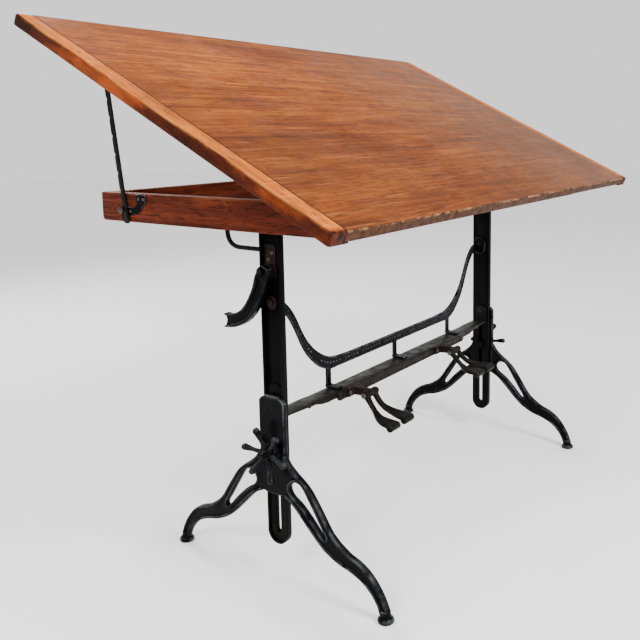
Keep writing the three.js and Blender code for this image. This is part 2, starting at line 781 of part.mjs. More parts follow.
// End cleat: as high as the panel beside it, and thicker, with a lip under the panel.
function cleat() {
  const low = BOARD_TOP - CLEAT_THICK;
  const outer = -BOARD_LENGTH / 2;
  return prism(
    "y",
    [
      [outer, low],
      [outer + CLEAT_WIDTH + CLEAT_LIP, low],
      [outer + CLEAT_WIDTH + CLEAT_LIP, PANEL_UNDER - GAP],
      [outer + CLEAT_WIDTH, PANEL_UNDER - GAP],
      [outer + CLEAT_WIDTH, BOARD_TOP],
      [outer, BOARD_TOP],
    ],
    BOARD_FRONT,
    BOARD_REAR,
  );
}

add(
  "board_panel",
  block(-PANEL_HALF, PANEL_HALF, BOARD_FRONT, BOARD_REAR, PANEL_UNDER, BOARD_TOP),
  boardWood(),
  board,
);
addPair("cleat", cleat(), cleatWood, board);

// ---------------------------------------------------------------- prop bars and their catches

// Angle bracket under the panel that holds a prop bar's pivot.
function propBracket() {
  const inner = -PROP_X + PROP_THICK / 2 + GAP;
  const top = PANEL_UNDER - GAP;
  const { u, w } = PROP_PIVOT;
  const foot = block(inner, inner + 30, u - 26, u + 26, top - 3, top);
  const cheek = prism(
    "x",
    [[u + 16, top], [u - 16, top], ...circlePoints(9, u, w, Math.PI, 2 * Math.PI, 10)],
    inner,
    inner + 3.5,
  );
  return cut(join(foot, cheek), roundX(3.5 + GAP, inner - 5, inner + 8, u, w));
}

function propPin() {
  const { u, w } = PROP_PIVOT;
  const outer = -PROP_X - PROP_THICK / 2;
  return join(
    roundX(3.5, outer - GAP - 1, -PROP_X + 12, u, w),
    roundX(7, outer - GAP - 4, outer - GAP, u, w, 18),
    roundX(6, -PROP_X + PROP_THICK / 2 + 2 * GAP + 3.5, -PROP_X + 12, u, w, 6),
  );
}

// Flat bar that hangs from its pivot, with round notches in its rear edge.
function propBar() {
  const half = PROP_WIDTH / 2;
  const outline = stadium(0, -PROP_LENGTH, half, PROP_WIDTH, 8);
  const bar = prism("x", outline, -PROP_THICK / 2, PROP_THICK / 2);
  const notches = [];
  for (let i = 0; i < PROP_NOTCHES; i++) {
    const z = -PROP_CATCH + i * PROP_NOTCH_PITCH;
    notches.push(roundX(STUD_R + 0.6, -PROP_THICK, PROP_THICK, STUD_OUT, z, 14));
  }
  const bore = roundX(3.5 + GAP, -5, 5, 0, 0);
  return cut(bar, ...notches, bore).rotateX(-PROP_LEAN);
}

// J-shaped plate on the side board. Its stud stands behind the bar and takes the notches.
const CATCH_LINE = [
  [309, 842, 12],
  [313, 826, 10],
  [328, 812, 9],
  [347, 809, 9],
  [363, 808, 10],
  [371, 797, 9],
  [366, 787, 7],
  [354, 786, 5],
];

function catchPlate() {
  const outer = -FRAME_HALF - GAP;
  const plate = prism("x", band(CATCH_LINE, 14), outer - 3, outer);
  const pad = prism(
    "x",
    [
      [296, 824],
      [324, 824],
      [330, FRAME_TOP - 2],
      [294, FRAME_TOP - 2],
    ],
    outer - 3,
    outer,
  );
  return join(plate, pad);
}

// The pivot's place in the table's axes, on the left.
function propPivot() {
  const pivot = new THREE.Vector3(-PROP_X, PROP_PIVOT.u, PROP_PIVOT.w);
  return pivot.applyEuler(new THREE.Euler(TILT, 0, 0)).add(new THREE.Vector3(0, HINGE_Y, HINGE_Z));
}

function catchStud() {
  const from = -FRAME_HALF - 3 - 2 * GAP;
  const place = new THREE.Vector3(0, STUD_OUT, -PROP_CATCH);
  const { y, z } = place.applyEuler(new THREE.Euler(-PROP_LEAN, 0, 0)).add(propPivot());
  return join(roundX(STUD_R, from - 8, from, y, z, 14), roundX(8, from - 11, from - 7.5, y, z, 16));
}

addPair("prop_bracket", propBracket(), barIron, board);
addPair("prop_pin", propPin(), steel, board);
for (const [name, side] of [
  ["left", -1],
  ["right", 1],
]) {
  const bar = add("prop_bar_" + name, propBar(), barIron());
  const pivot = propPivot();
  bar.position.set(side * PROP_X, pivot.y, pivot.z);
}
addPair("catch_plate", catchPlate(), castIron);
addPair("catch_stud", catchStud(), steel);

// ---------------------------------------------------------------- hand lever on the left upright

function leverBracket() {
  const face = -WEB_OUTER - GAP;
  const { y, z } = LEVER_AXIS;
  const plate = block(face - 5, face, y - 15, y + 15, z - 16, z + 54);
  const stud = roundX(5, -LEVER_PLANE - 15, face - 2, y, z);
  const shoulder = roundX(11, -LEVER_PLANE + 9, face - 2, y, z, 24);
  return join(plate, stud, shoulder);
}

// A trough, open to the outside, that curves down to the rear and ends in a hollowed mouth.
const LEVER_LINE = [
  [-8, 704, 9],
  [-2, 692, 14],
  [5, 677, 16],
  [14, 650, 16],
  [29, 624, 15],
  [51, 597, 14.5],
  [76, 582, 14.5],
  [99, 576, 14.5],
  [115, 576, 16],
];

function handLever() {
  const x = -LEVER_PLANE;
  const { y, z } = LEVER_AXIS;
  const half = 9;
  const arm = prism("x", band(LEVER_LINE, 16), x - half, x + half);
  const trough = narrowed(LEVER_LINE.slice(2), 4);
  const inside = prism("x", band(trough, 12), x - half - 1, x - half + 6);
  const hollow = new THREE.SphereGeometry(17, 14, 10).translate(x, y + 127, z - 119);
  const boss = roundX(11, x - half, x + half, y, z, 16);
  return cut(join(cut(arm, inside, hollow), boss), roundX(5 + GAP, x - 30, x + 30, y, z));
}

function leverNut() {
  const { y, z } = LEVER_AXIS;
  const from = -LEVER_PLANE - 9 - GAP;
  return cut(roundX(9, from - 5, from, y, z, 6), roundX(5 + GAP, from - 8, from + 3, y, z));
}

add("lever_bracket", leverBracket(), rustyIron());
add("hand_lever", handLever(), castIron());
add("lever_nut", leverNut(), steel());

// ---------------------------------------------------------------- middle of the box over the origin

const frontMost = HINGE_Y + BOARD_FRONT * Math.cos(TILT) - BOARD_TOP * Math.sin(TILT);
const cleatLow = BOARD_TOP - CLEAT_THICK;
const rearMost = HINGE_Y + BOARD_REAR * Math.cos(TILT) - cleatLow * Math.sin(TILT);
table.position.y = -(frontMost + rearMost) / 2;

export default table;
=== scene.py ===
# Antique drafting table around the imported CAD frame: finer iron castings, worked wood, procedural finishes.
# Metres, +Z up, +X to the user's right, the user at -Y.
import json
import math

import bmesh
import bpy
from mathutils import Matrix, Vector, noise


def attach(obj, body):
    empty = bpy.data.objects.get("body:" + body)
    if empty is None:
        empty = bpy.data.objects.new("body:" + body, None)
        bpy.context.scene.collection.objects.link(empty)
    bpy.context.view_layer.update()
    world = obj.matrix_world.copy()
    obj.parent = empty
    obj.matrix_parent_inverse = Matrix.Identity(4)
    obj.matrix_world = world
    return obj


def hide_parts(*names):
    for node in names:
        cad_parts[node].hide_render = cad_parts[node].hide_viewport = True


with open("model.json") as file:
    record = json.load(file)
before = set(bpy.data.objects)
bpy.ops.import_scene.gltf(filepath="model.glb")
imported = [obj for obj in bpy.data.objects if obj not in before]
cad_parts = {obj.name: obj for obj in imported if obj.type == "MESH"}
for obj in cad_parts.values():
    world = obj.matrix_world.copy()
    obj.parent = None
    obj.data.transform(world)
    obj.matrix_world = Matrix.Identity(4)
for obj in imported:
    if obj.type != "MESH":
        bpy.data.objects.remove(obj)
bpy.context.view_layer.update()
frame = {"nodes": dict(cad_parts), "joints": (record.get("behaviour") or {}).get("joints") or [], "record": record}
RECORD = frame["record"]
BODY = {n: body for body, names in RECORD["behaviour"]["bodies"].items() for n in names}
SLOT = {part["node"]: part["material_slot"] for part in RECORD["subparts"]}
SIDES = (("left", -1), ("right", 1))
TILT = math.radians(26.5)
HINGE = Vector(next(j for j in frame["joints"] if j["name"] == "board_tilt")["pos_m"])
BOARD = Matrix.Translation(HINGE) @ Matrix.Rotation(TILT, 4, "X")
SHIFT = HINGE.y + 0.274  # Y of the middle plane of the uprights and castings


# ---------------------------------------------------------------- camera, floor and lights

CAMERA_PLACE = (-1.694, -1.138, 0.986)
CAMERA_YAW, CAMERA_PITCH, CAMERA_ROLL = (math.radians(a) for a in (56.34, 7.65, -0.62))
CAMERA_LENS = 43.15
CAMERA_SHIFT = (-0.1078, -0.1362)
WORLD_STRENGTH = 1.2
LIGHTS = {  # place, target, width, height, power
    "key": ((-0.5, -2.5, 2.3), (-0.3, 0, 0.5), 0.9, 0.9, 120),
    "left": ((-2.9, -0.2, 2.4), (0, 0, 0.5), 0.9, 0.9, 60),
    "top": ((-0.4, 0.2, 3.8), (0, 0, 0.3), 1.6, 1.6, 30),
    "back": ((0.6, 3.2, 2.4), (0, 0, 0.6), 1.2, 0.8, 90),
}
FLOOR_REACH = 14.0
FLOOR_DROP = 0.0008  # keeps the floor clear of the feet's flat faces
FLOOR_COLOUR = (0.93, 0.93, 0.93, 1.0)


def aim(obj, direction, roll=0.0):
    look = direction.to_track_quat("-Z", "Y")
    obj.rotation_euler = (look @ Matrix.Rotation(roll, 3, "Z").to_quaternion()).to_euler()


def camera():
    data = bpy.data.cameras.new("view")
    data.sensor_width = 36.0
    data.lens = CAMERA_LENS
    data.shift_x, data.shift_y = CAMERA_SHIFT
    data.clip_end = 60.0
    obj = bpy.data.objects.new("view", data)
    obj.location = CAMERA_PLACE
    level = math.cos(CAMERA_PITCH)
    forward = (math.sin(CAMERA_YAW) * level, math.cos(CAMERA_YAW) * level, -math.sin(CAMERA_PITCH))
    aim(obj, Vector(forward), CAMERA_ROLL)
    bpy.context.scene.collection.objects.link(obj)
    bpy.context.scene.camera = obj


def softbox(name, place, target, width, height, power):
    data = bpy.data.lights.new(name, "AREA")
    data.shape = "RECTANGLE"
    data.size, data.size_y = width, height
    data.energy = power
    obj = bpy.data.objects.new(name, data)
    obj.location = place
    aim(obj, Vector(target) - Vector(place))
    bpy.context.scene.collection.objects.link(obj)


def floor():
    r = FLOOR_REACH
    mesh = bpy.data.meshes.new("floor")
    mesh.from_pydata([(-r, -r, 0), (r, -r, 0), (r, r, 0), (-r, r, 0)], [], [(0, 1, 2, 3)])
    obj = bpy.data.objects.new("floor", mesh)
    obj.location.z = -FLOOR_DROP
    bpy.context.scene.collection.objects.link(obj)
    surface = bpy.data.materials.new("floor")
    surface.use_nodes = True
    shader = surface.node_tree.nodes["Principled BSDF"]
    shader.inputs["Base Color"].default_value = FLOOR_COLOUR
    shader.inputs["Roughness"].default_value = 0.85
    mesh.materials.append(surface)


def studio():
    world = bpy.data.worlds.new("studio")
    world.use_nodes = True
    background = world.node_tree.nodes["Background"]
    background.inputs["Color"].default_value = (1.0, 1.0, 1.0, 1.0)
    background.inputs["Strength"].default_value = WORLD_STRENGTH
    bpy.context.scene.world = world
    for name, (place, target, width, height, power) in LIGHTS.items():
        softbox(name, place, target, width, height, power)
    floor()


# ---------------------------------------------------------------- shader building

class Shader:
    """A material with a Principled shader, and short ways to add the nodes that feed it."""

    def __init__(self, name, place=None, turn=(0, 0, 0)):
        self.material = bpy.data.materials.new(name)
        self.material.use_nodes = True
        self.tree = self.material.node_tree
        self.out = self.tree.nodes["Principled BSDF"]
        coordinates = self.tree.nodes.new("ShaderNodeTexCoord").outputs["Object"]
        self.base = self.mapped(coordinates, (1, 1, 1), turn, place or (0, 0, 0), "TEXTURE")

    def feed(self, socket, value):
        if isinstance(value, bpy.types.NodeSocket):
            self.tree.links.new(value, socket)
        else:
            socket.default_value = value

    def mapped(self, source, scale, turn=(0, 0, 0), place=(0, 0, 0), kind="POINT"):
        node = self.tree.nodes.new("ShaderNodeMapping")
        node.vector_type = kind
        self.feed(node.inputs["Vector"], source)
        node.inputs["Scale"].default_value = scale
        node.inputs["Rotation"].default_value = turn
        node.inputs["Location"].default_value = place
        return node.outputs["Vector"]

    def noise(self, scale, detail=4.0, rough=0.55, stretch=None, turn=(0, 0, 0), warp=0.0):
        node = self.tree.nodes.new("ShaderNodeTexNoise")
        source = self.mapped(self.base, stretch, turn) if stretch else self.base
        self.feed(node.inputs["Vector"], source)
        node.inputs["Scale"].default_value = scale
        node.inputs["Detail"].default_value = detail
        node.inputs["Roughness"].default_value = rough
        node.inputs["Distortion"].default_value = warp
        return node.outputs["Fac"]

    def ramp(self, value, *stops):
        node = self.tree.nodes.new("ShaderNodeValToRGB")
        self.feed(node.inputs["Fac"], value)
        elements = node.color_ramp.elements
        while len(elements) < len(stops):
            elements.new(0.5)
        for element, (place, colour) in zip(elements, stops):
            element.position = place
            element.color = (*colour, 1.0) if isinstance(colour, tuple) else (colour, colour, colour, 1.0)
        return node.outputs["Color"]

    def mix(self, amount, a, b, blend="MIX"):
        node = self.tree.nodes.new("ShaderNodeMix")
        node.data_type = "RGBA"
        node.blend_type = blend
        self.feed(node.inputs[0], amount)
        self.feed(node.inputs[6], (*a, 1.0) if isinstance(a, tuple) else a)
        self.feed(node.inputs[7], (*b, 1.0) if isinstance(b, tuple) else b)
        return node.outputs[2]

    def math(self, operation, a, b=0.0, clamp=False):
        node = self.tree.nodes.new("ShaderNodeMath")
        node.operation = operation
        node.use_clamp = clamp
        self.feed(node.inputs[0], a)
        self.feed(node.inputs[1], b)
        return node.outputs[0]

    def span(self, value, low, high, to_low=0.0, to_high=1.0):
        node = self.tree.nodes.new("ShaderNodeMapRange")
        self.feed(node.inputs["Value"], value)
        node.inputs["From Min"].default_value = low
        node.inputs["From Max"].default_value = high
        node.inputs["To Min"].default_value = to_low
        node.inputs["To Max"].default_value = to_high
        return node.outputs["Result"]

    def axes(self):
        node = self.tree.nodes.new("ShaderNodeSeparateXYZ")
        self.feed(node.inputs[0], self.base)
        return node.outputs[0], node.outputs[1], node.outputs[2]

    def edges(self, low=0.503, high=0.545):
        """Raised edges, weighted towards those that face upwards; the upward weighting paints a highlight as if
        lit from above.
        """
        geometry = self.tree.nodes.new("ShaderNodeNewGeometry")
        split = self.tree.nodes.new("ShaderNodeSeparateXYZ")
        self.feed(split.inputs[0], geometry.outputs["Normal"])
        # Painted highlight: edges that face upwards count for more, as if they caught light from above.
        painted_top_light = self.span(split.outputs[2], -0.2, 0.8, 0.25, 1.0)
        return self.math("MULTIPLY", self.span(geometry.outputs["Pointiness"], low, high), painted_top_light)

    def bump(self, height, strength, distance, normal=None):
        node = self.tree.nodes.new("ShaderNodeBump")
        self.feed(node.inputs["Height"], height)
        node.inputs["Strength"].default_value = strength
        node.inputs["Distance"].default_value = distance
        if normal is not None:
            self.feed(node.inputs["Normal"], normal)
        return node.outputs["Normal"]

    def done(self, colour, roughness, normal, metallic=0.0, shine=0.5):
        self.feed(self.out.inputs["Base Color"], (*colour, 1.0) if isinstance(colour, tuple) else colour)
        self.feed(self.out.inputs["Roughness"], roughness)
        self.feed(self.out.inputs["Normal"], normal)
        self.feed(self.out.inputs["Metallic"], metallic)
        self.out.inputs["Specular IOR Level"].default_value = shine
        return self.material


def iron(name, dark, light, worn_and_highlight, wear, rust=0.0, gloss=0.22, shine=0.04, edged=True):
    """Old japanned iron: uneven black, rubbed edges whose pale colour is partly a painted highlight, some rust in
    patches.
    """
    s = Shader(name)
    cloud = s.noise(9.0, 5.0, 0.6)
    colour = s.ramp(cloud, (0.35, dark), (0.7, light))
    fine = s.noise(260.0, 3.0, 0.6)
    patches = s.span(s.noise(22.0, 6.0, 0.7), 0.56, 0.7)
    scuffs = s.span(s.noise(60.0, 6.0, 0.75, (1, 1, 0.25)), 0.62, 0.72)
    rusty = s.ramp(s.noise(90.0, 4.0), (0.3, (0.018, 0.006, 0.0035)), (0.7, (0.055, 0.021, 0.011)))
    colour = s.mix(s.math("MULTIPLY", patches, rust, True), colour, rusty)
    colour = s.mix(s.math("MULTIPLY", scuffs, 0.25 * wear, True), colour, worn_and_highlight)
    metallic = 0.0
    if edged:
        # Rubbed edges: real wear, and also a painted highlight along the upward-facing rims.
        rubbed = s.math("MULTIPLY", s.edges(), s.span(s.noise(40.0, 4.0), 0.38, 0.6), True)
        colour = s.mix(s.math("MULTIPLY", rubbed, wear, True), colour, worn_and_highlight)
        metallic = s.span(rubbed, 0.0, 1.0, 0.0, 0.8)
    rough = s.span(s.noise(30.0, 5.0, 0.65), 0.3, 0.75, gloss - 0.06, gloss + 0.2)
    rough = s.math("ADD", rough, s.math("MULTIPLY", patches, 0.25 * rust), True)
    normal = s.bump(fine, 0.2, 0.0006)
    normal = s.bump(s.noise(45.0, 4.0), 0.3, 0.0012, normal)
    return s.done(colour, rough, normal, metallic, shine)


def steel(name):
    """Old steel, dull brown to grey."""
    s = Shader(name)
    dark, mid, light = (0.03, 0.021, 0.016), (0.075, 0.066, 0.06), (0.2, 0.19, 0.18)
    colour = s.ramp(s.noise(60.0, 6.0, 0.7), (0.3, dark), (0.6, mid), (0.85, light))
    rough = s.span(s.noise(80.0, 5.0), 0.3, 0.7, 0.3, 0.6)
    return s.done(colour, rough, s.bump(s.noise(400.0, 3.0), 0.2, 0.0004), 0.7, 0.4)


def shaded(colour, factor):
    return tuple(factor * c for c in colour)


def wood(name, tones, place=None, turn=(0, 0, 0), grain="x", planks=0.0, figure=1.0, gloss=0.42,
         extras=None, scratched=0.38):
    """Oiled old wood: figure and dashes along the grain, cloudy stain, bleached patches, scratches."""
    s = Shader(name, place, turn)
    dark, mid, light = tones
    long_first = grain == "x"
    along = lambda a, b: (a, b, b) if long_first else (b, a, b)
    fibre = s.noise(1.0, 6.0, 0.65, along(3.0, 90.0), warp=0.35)
    streak = s.noise(1.0, 6.0, 0.62, along(1.5, 19.0), warp=1.3)
    swirl = s.noise(1.0, 5.0, 0.6, along(1.3, 4.6), warp=2.4)
    blend = s.math("ADD", s.math("MULTIPLY", streak, 0.5), s.math("MULTIPLY", swirl, 0.5 * figure))
    blend = s.math("ADD", blend, s.math("MULTIPLY", s.math("SUBTRACT", fibre, 0.5), 0.55))
    if planks:
        x, y, _ = s.axes()
        step = s.math("FLOOR", s.math("DIVIDE", y if long_first else x, planks))
        random = s.tree.nodes.new("ShaderNodeTexWhiteNoise")
        random.noise_dimensions = "1D"
        s.feed(random.inputs["W"], step)
        tone = s.math("MULTIPLY", s.math("SUBTRACT", random.outputs["Value"], 0.5), 0.05)
        blend = s.math("ADD", blend, tone)
    centre = 0.25 + 0.25 * figure
    colour = s.ramp(blend, (centre - 0.22, dark), (centre, mid), (centre + 0.24, light))
    bleached = s.span(s.noise(3.4, 5.0, 0.62, along(0.6, 1.3), warp=1.0), 0.52, 0.7)
    colour = s.mix(s.math("MULTIPLY", bleached, 0.3), colour, light)
    stain = s.span(s.noise(2.6, 6.0, 0.66, warp=0.8), 0.45, 0.66)
    colour = s.mix(s.math("MULTIPLY", stain, 0.5), colour, shaded(mid, 0.45))
    dashes = s.span(s.noise(1.0, 3.0, 0.7, along(11.0, 190.0)), 0.585, 0.635)
    colour = s.mix(s.math("MULTIPLY", dashes, 0.6), colour, shaded(dark, 0.6))
    pores = s.span(s.noise(1.0, 2.0, 0.6, along(34.0, 380.0)), 0.575, 0.63)
    colour = s.mix(s.math("MULTIPLY", pores, 0.65), colour, shaded(dark, 0.5))
    scratch_a = s.span(s.noise(1.0, 1.0, 0.5, (4.5, 170.0, 170.0), (0, 0, 0.42)), 0.70, 0.74)
    scratch_b = s.span(s.noise(1.0, 1.0, 0.5, (5.5, 150.0, 150.0), (0, 0, -1.0)), 0.71, 0.75)
    scratches = s.math("ADD", scratch_a, scratch_b, True)
    pale = tuple(min(1.0, 0.06 + 1.15 * c) for c in light)
    colour = s.mix(s.math("MULTIPLY", scratches, scratched), colour, pale)
    spots = s.span(s.noise(48.0, 3.0, 0.55), 0.70, 0.75)
    colour = s.mix(s.math("MULTIPLY", spots, 0.8), colour, shaded(dark, 0.3))
    if extras:
        colour = extras(s, colour)
    rough = s.span(s.noise(14.0, 6.0, 0.7), 0.3, 0.7, gloss - 0.08, gloss + 0.14)
    rough = s.math("ADD", rough, s.math("MULTIPLY", scratches, 0.15), True)
    height = s.math("SUBTRACT", fibre, s.math("MULTIPLY", dashes, 0.6))
    height = s.math("SUBTRACT", height, s.math("MULTIPLY", scratches, 0.8))
    return s.done(colour, rough, s.bump(height, 0.35, 0.0008), 0.0, 0.05)


def board_extras(s, colour):
    """Painted shade darkening towards the front, a painted sheen greying the right end; a dark front edge, its
    corner bare in places.
    """
    x, u, w = s.axes()
    # Painted shade: the board darkens towards its front edge, with some cloudy variation.
    drift = s.math("ADD", s.math("MULTIPLY", x, 0.32), s.math("MULTIPLY", u, -0.9))
    drift = s.math("ADD", drift, s.math("MULTIPLY", s.math("SUBTRACT", s.noise(3.0, 4.0), 0.5), 0.7))
    painted_front_shade = s.span(drift, -0.62, 0.05, 0.0, 0.95)
    colour = s.mix(painted_front_shade, colour, s.mix(0.62, colour, (0.05, 0.017, 0.007)))
    # Painted sheen: the colour turns greyer towards the right-hand end.
    colour = s.mix(s.span(x, -0.1, 0.76, 0.0, 0.35), colour, (0.20, 0.125, 0.085))
    seam = s.math("ABSOLUTE", s.math("SUBTRACT", s.math("ABSOLUTE", x), 0.7222))
    colour = s.mix(s.span(seam, 0.0008, 0.003, 0.8, 0.0), colour, (0.012, 0.005, 0.003))
    face = s.span(u, -0.1006, -0.0994, 0.92, 0.0)
    grime = s.ramp(s.noise(60.0, 5.0, 0.7), (0.35, (0.012, 0.006, 0.004)), (0.65, (0.075, 0.03, 0.014)))
    colour = s.mix(face, colour, grime)
    corner = s.math("MULTIPLY", s.span(u, -0.1018, -0.0985, 1.0, 0.0), s.span(w, 0.0185, 0.0215), True)
    patchy = s.span(s.noise(34.0, 6.0, 0.75, (0.7, 1, 1)), 0.46, 0.6)
    bare = s.math("MULTIPLY", s.math("MULTIPLY", corner, patchy), 0.75)
    return s.mix(bare, colour, (0.36, 0.19, 0.09))


def cleat_extras(s, colour):
    """The outer side is a dark, mottled red, partly the wood's own tone and partly painted shade; the front end is
    dark and red, and the rubbed corner above the side is pale.
    """
    x, u, w = s.axes()
    side = s.span(s.math("ABSOLUTE", x), 0.7580, 0.7610)
    dark, red, orange = (0.006, 0.0015, 0.001), (0.05, 0.008, 0.003), (0.24, 0.045, 0.008)
    side_shade_colour = s.ramp(s.noise(9.0, 6.0, 0.7, (1, 0.3, 1)), (0.35, dark), (0.5, red), (0.66, orange))
    # Painted shade on the cleat's outer side, over a dark red tone.
    colour = s.mix(s.math("MULTIPLY", side, 0.98), colour, side_shade_colour)
    top = s.span(w, 0.0185, 0.0222)
    corner = s.math("MULTIPLY", top, s.span(s.math("ABSOLUTE", x), 0.7555, 0.7602))
    wear = s.math("MULTIPLY", corner, s.span(s.noise(18.0, 5.0, 0.6, (1, 0.4, 1)), 0.42, 0.62))
    colour = s.mix(s.math("MULTIPLY", wear, 0.55), colour, (0.62, 0.24, 0.055))
    tip = s.span(s.math("ADD", u, s.math("MULTIPLY", s.noise(30.0, 4.0), 0.02)), -0.088, -0.074, 1.0, 0.0)
    rings = s.noise(110.0, 4.0, 0.7, (1, 1, 0.4))
    return s.mix(tip, colour, s.ramp(rings, (0.38, (0.006, 0.002, 0.001)), (0.6, (0.07, 0.013, 0.004))))


def frame_extras(s, colour):
    """A rubbed, lighter upper edge."""
    height = s.axes()[2]
    edge = s.math("ADD", height, s.math("MULTIPLY", s.noise(26.0, 5.0, 0.7, (0.5, 0.5, 1)), 0.012))
    return s.mix(s.span(edge, 0.8525, 0.858, 0.0, 0.6), colour, (0.2, 0.07, 0.03))


BOARD_TURN = (TILT, 0, 0)
BOARD_TONES = ((0.05, 0.01, 0.002), (0.225, 0.05, 0.0055), (0.44, 0.13, 0.015))
CLEAT_TONES = ((0.12, 0.02, 0.002), (0.47, 0.11, 0.008), (0.64, 0.21, 0.022))
FRAME_TONES = ((0.012, 0.002, 0.0012), (0.08, 0.0135, 0.005), (0.19, 0.042, 0.014))
# The third colour of each iron is for scuffs and rubbed edges; on the upward-facing rims it is also a painted
# highlight.
BLACK = ((0.0008, 0.0008, 0.001), (0.0022, 0.0022, 0.0026), (0.15, 0.153, 0.168))
GREY_BLACK = ((0.0022, 0.002, 0.0019), (0.0075, 0.0066, 0.006), (0.08, 0.072, 0.068))
BROWN_BLACK = ((0.006, 0.0035, 0.003), (0.02, 0.011, 0.008), (0.09, 0.06, 0.045))
PLANK_WIDTH = 0.152
PALETTE = {
    "board_wood": wood("board_wood", BOARD_TONES, tuple(HINGE), BOARD_TURN, "x", PLANK_WIDTH, 1.0, 0.5,
                       board_extras),
    "cleat_wood": wood("cleat_wood", CLEAT_TONES, tuple(HINGE), BOARD_TURN, "y", 0.0, 0.6, 0.45,
                       cleat_extras),
    "frame_wood": wood("frame_wood", FRAME_TONES, None, (0, 0, 0), "y", 0.0, 0.7, 0.5, frame_extras, 0.12),
    "rail_wood": wood("rail_wood", FRAME_TONES, None, (0, 0, 0), "x", 0.0, 0.7, 0.5, frame_extras, 0.12),
    "black_iron": iron("black_iron", *BLACK, 0.8),
    "plain_iron": iron("plain_iron", *BLACK, 0.12, 0.15, 0.30, 0.04, False),
    "bar_iron": iron("bar_iron", *GREY_BLACK, 0.3, 0.2, 0.36, 0.05),
    "rusty_iron": iron("rusty_iron", *BROWN_BLACK, 0.4, 0.55, 0.42, 0.05),
    "dull_steel": steel("dull_steel"),
}


# ---------------------------------------------------------------- mesh building

def linked(name, data):
    obj = bpy.data.objects.new(name, data)
    bpy.context.scene.collection.objects.link(obj)
    return obj


def settle(obj):
    """Applies the modifiers."""
    bpy.context.view_layer.update()
    depsgraph = bpy.context.evaluated_depsgraph_get()
    mesh = bpy.data.meshes.new_from_object(obj.evaluated_get(depsgraph), depsgraph=depsgraph)
    obj.modifiers.clear()
    obj.data = mesh


def outward(mesh, weld=None):
    """Turns every face outwards, after joining the corners that lie within the welding distance."""
    bm = bmesh.new()
    bm.from_mesh(mesh)
    if weld:
        bmesh.ops.remove_doubles(bm, verts=bm.verts, dist=weld)
    bmesh.ops.recalc_face_normals(bm, faces=bm.faces)
    bm.to_mesh(mesh)
    bm.free()


def circle(radius, sides):
    """Pairs of coordinates evenly spaced on a circle round the origin."""
    turns = [2 * math.pi * k / sides for k in range(sides)]
    return [(radius * math.cos(a), radius * math.sin(a)) for a in turns]


def smoothed(mesh, angle=50.0):
    """Smooth shading, with a crease at every edge sharper than the angle."""
    bm = bmesh.new()
    bm.from_mesh(mesh)
    limit = math.radians(angle)
    for face in bm.faces:
        face.smooth = True
    for edge in bm.edges:
        edge.smooth = not (len(edge.link_faces) == 2 and edge.calc_face_angle(0.0) > limit)
    bm.to_mesh(mesh)
    bm.free()


def finish(obj, body, finish_slot, finish_material, *nodes):
    obj.data.materials.clear()
    obj.data.materials.append(PALETTE[finish_material])
    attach(obj, body)
    if nodes:
        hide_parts(*nodes)
    return obj


def copied(node):
    """A welded copy of a CAD node's mesh, free of the flat faces' split corners."""
    mesh = frame["nodes"][node].data.copy()
    bm = bmesh.new()
    bm.from_mesh(mesh)
    bmesh.ops.remove_doubles(bm, verts=bm.verts, dist=2e-5)
    bmesh.ops.dissolve_limit(bm, angle_limit=math.radians(0.6), verts=bm.verts, edges=bm.edges)
    bm.to_mesh(mesh)
    bm.free()
    return linked(node + "_fine", mesh)


def skinned(obj, voxel, rounds, keep):
    """One closed skin around the object, every edge and corner softened."""
    remesh = obj.modifiers.new("skin", "REMESH")
    remesh.mode = "VOXEL"
    remesh.voxel_size = voxel
    soften = obj.modifiers.new("soften", "SMOOTH")
    soften.factor = 0.5
    soften.iterations = rounds
    thin = obj.modifiers.new("thin", "DECIMATE")
    thin.ratio = keep
    settle(obj)
    for polygon in obj.data.polygons:
        polygon.use_smooth = True


def cast(node, voxel, rounds, keep=0.45, material=None):
    """The node as a casting."""
    obj = copied(node)
    skinned(obj, voxel, rounds, keep)
    return finish(obj, BODY[node], SLOT[node], material or SLOT[node], node)


def worked(node, width, segments=2, material=None, angle=32.0):
    """The node with its edges broken, as a machined or planed piece."""
    obj = copied(node)
    bevel = obj.modifiers.new("edges", "BEVEL")
    bevel.limit_method = "ANGLE"
    bevel.angle_limit = math.radians(angle)
    bevel.width = width
    bevel.segments = segments
    bevel.use_clamp_overlap = True
    settle(obj)
    smoothed(obj.data)
    return finish(obj, BODY[node], SLOT[node], material or SLOT[node], node)


def rounded(corners, radii, steps=4):
    """The outline of a polygon of (a, b) corners, each corner rounded by its radius."""
    points = []
    count = len(corners)
    for i, corner in enumerate(corners):
        here = Vector(corner)
        before, after = Vector(corners[i - 1]), Vector(corners[(i + 1) % count])
        start = here + (before - here).normalized() * radii[i]
        end = here + (after - here).normalized() * radii[i]
        for k in range(steps + 1):
            t = k / steps
            points.append((1 - t) ** 2 * start + 2 * t * (1 - t) * here + t * t * end)
    return points


def lofted(name, rings, closed=False):
    """A closed body through rings of points, with flat ends unless the last ring joins the first."""
    count = len(rings[0])
    total = len(rings) * count
    vertices = [tuple(p) for ring in rings for p in ring]
    faces = []
    for i in range(len(rings) if closed else len(rings) - 1):
        for k in range(count):
            a, b = i * count + k, i * count + (k + 1) % count
            faces.append((a, b, (b + count) % total, (a + count) % total))
    if not closed:
        faces.append(tuple(range(count - 1, -1, -1)))
        faces.append(tuple(range(total - count, total)))
    mesh = bpy.data.meshes.new(name)
    mesh.from_pydata(vertices, [], faces)
    outward(mesh)
    smoothed(mesh)
    return linked(name, mesh)


def wobble(place, row):
    """A smooth random value, from about -1 to 1."""
    return noise.noise(Vector((place, row, 0.0)))


# ---------------------------------------------------------------- drawing board

